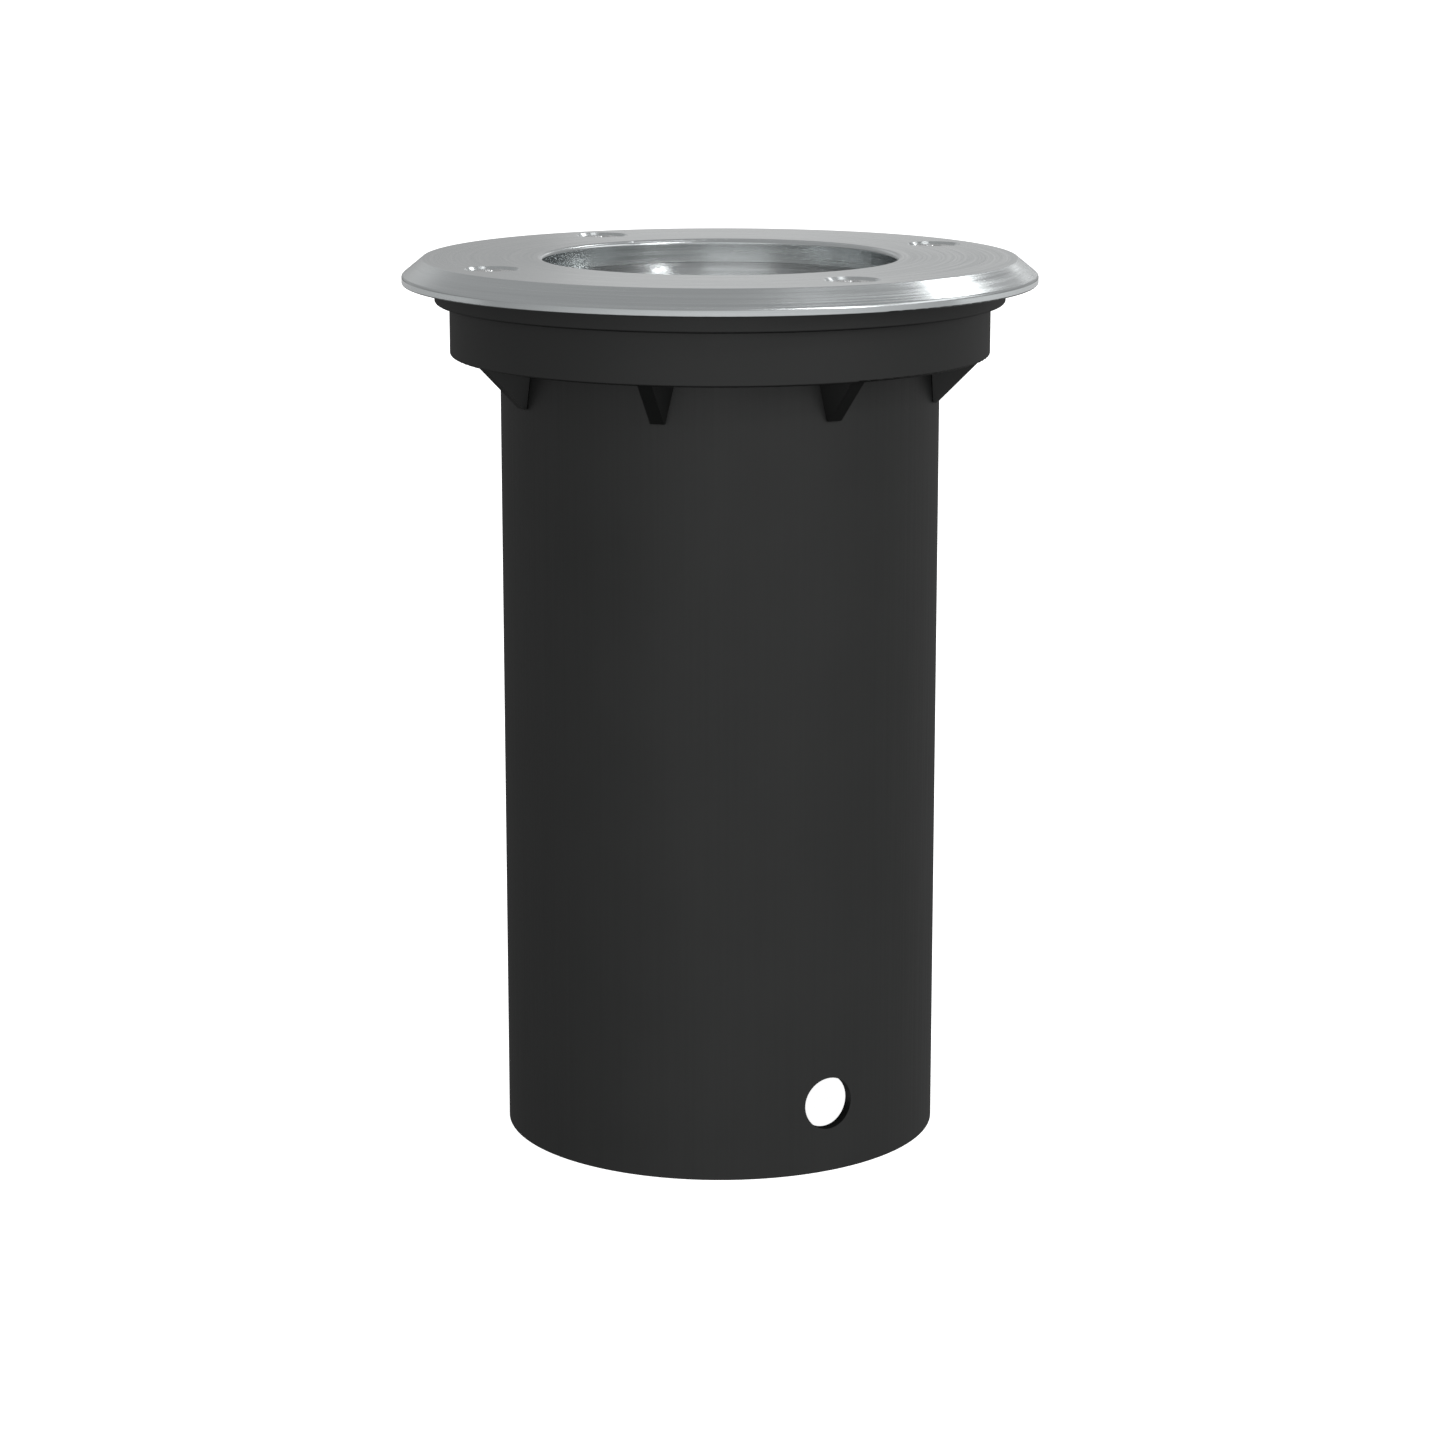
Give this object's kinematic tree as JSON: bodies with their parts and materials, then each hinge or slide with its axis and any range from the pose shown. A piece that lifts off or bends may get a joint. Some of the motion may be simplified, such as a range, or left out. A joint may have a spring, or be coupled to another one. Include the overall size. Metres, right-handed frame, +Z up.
{
  "type": "in-ground light",
  "caption": "Round recessed ground light: bevelled steel ring screwed to a black sleeve that holds a glazed light unit, which lifts out to change its twist-lock lamp.",
  "frame": {"origin": "centre of the bottom rim of the pipe, which the part stands on", "axes": "+Z up the axis of the sleeve to the cover, -Y out through the cable hole"},
  "size_m": [0.108, 0.108, 0.152],
  "materials": {
    "pipe_plastic": "smooth satin black extrusion",
    "collar_plastic": "smooth satin black moulding",
    "cast_housing": "black powder coat on cast aluminium",
    "reflector_metal": "bright satin",
    "holder_ceramic": "unglazed white ceramic",
    "spring_brass": "plain",
    "plated_steel": "zinc plated",
    "terminal_plastic": "natural white",
    "lead_sleeving": "silicone",
    "earth_sleeving": "green and yellow",
    "gland_plastic": "black moulding",
    "seal_rubber": "soft matt",
    "lamp_shell": "white satin shell",
    "lamp_optic": "frosted moulding",
    "pin_metal": "nickel plated",
    "clear_glass": "toughened, polished",
    "cover_steel": "turned and brushed",
    "screw_steel": "plain stainless"
  },
  "bodies": {
    "sleeve": {"sleeve_pipe": "pipe_plastic", "sleeve_collar": "collar_plastic"},
    "light_unit": {"lamp_housing": "cast_housing", "reflector_ring": "reflector_metal", "lamp_holder": "holder_ceramic", "holder_contacts": "spring_brass", "holder_bracket": "plated_steel", "bracket_screws": "plated_steel", "holder_screws": "plated_steel", "terminal_block": "terminal_plastic", "terminal_clamps": "spring_brass", "terminal_screws": "plated_steel", "lamp_leads": "lead_sleeving", "earth_lead": "earth_sleeving", "earth_tag": "plated_steel", "earth_screw": "spring_brass", "gland_body": "gland_plastic", "gland_washer": "seal_rubber", "gland_locknut": "gland_plastic", "gland_seal": "seal_rubber"},
    "gland_cap": {"gland_cap": "gland_plastic"},
    "lamp": {"lamp_body": "lamp_shell", "lamp_optic": "lamp_optic", "lamp_pins": "pin_metal"},
    "lens": {"glass_lens": "clear_glass", "lens_gasket": "seal_rubber"},
    "cover": {"cover_ring": "cover_steel"},
    "screw_front": {"cover_screw_front": "screw_steel"},
    "screw_right": {"cover_screw_right": "screw_steel"},
    "screw_back": {"cover_screw_back": "screw_steel"},
    "screw_left": {"cover_screw_left": "screw_steel"}
  },
  "joints": [
    {"name": "unit_lift", "type": "slide", "parent": "sleeve", "child": "light_unit", "axis": [0, 0, 1], "range_m": [0, 0.125]},
    {"name": "lens_lift", "type": "slide", "parent": "light_unit", "child": "lens", "axis": [0, 0, 1], "range_m": [0, 0.03]},
    {"name": "cover_lift", "type": "slide", "parent": "lens", "child": "cover", "axis": [0, 0, 1], "range_m": [0, 0.03]},
    {"name": "lamp_twist", "type": "hinge", "parent": "light_unit", "child": "lamp", "pos_m": [0, 0, 0.089], "axis": [0, 0, 1], "range_deg": [0, 30]},
    {"name": "gland_cap_turn", "type": "hinge", "parent": "light_unit", "child": "gland_cap", "pos_m": [0, 0, 0.04], "axis": [0, 0, -1], "range_deg": [0, 1800]},
    {"name": "screw_front_withdraw", "type": "slide", "parent": "cover", "child": "screw_front", "axis": [0, 0, 1], "range_m": [0, 0.0125]},
    {"name": "screw_right_withdraw", "type": "slide", "parent": "cover", "child": "screw_right", "axis": [0, 0, 1], "range_m": [0, 0.0125]},
    {"name": "screw_back_withdraw", "type": "slide", "parent": "cover", "child": "screw_back", "axis": [0, 0, 1], "range_m": [0, 0.0125]},
    {"name": "screw_left_withdraw", "type": "slide", "parent": "cover", "child": "screw_left", "axis": [0, 0, 1], "range_m": [0, 0.0125]}
  ]
}
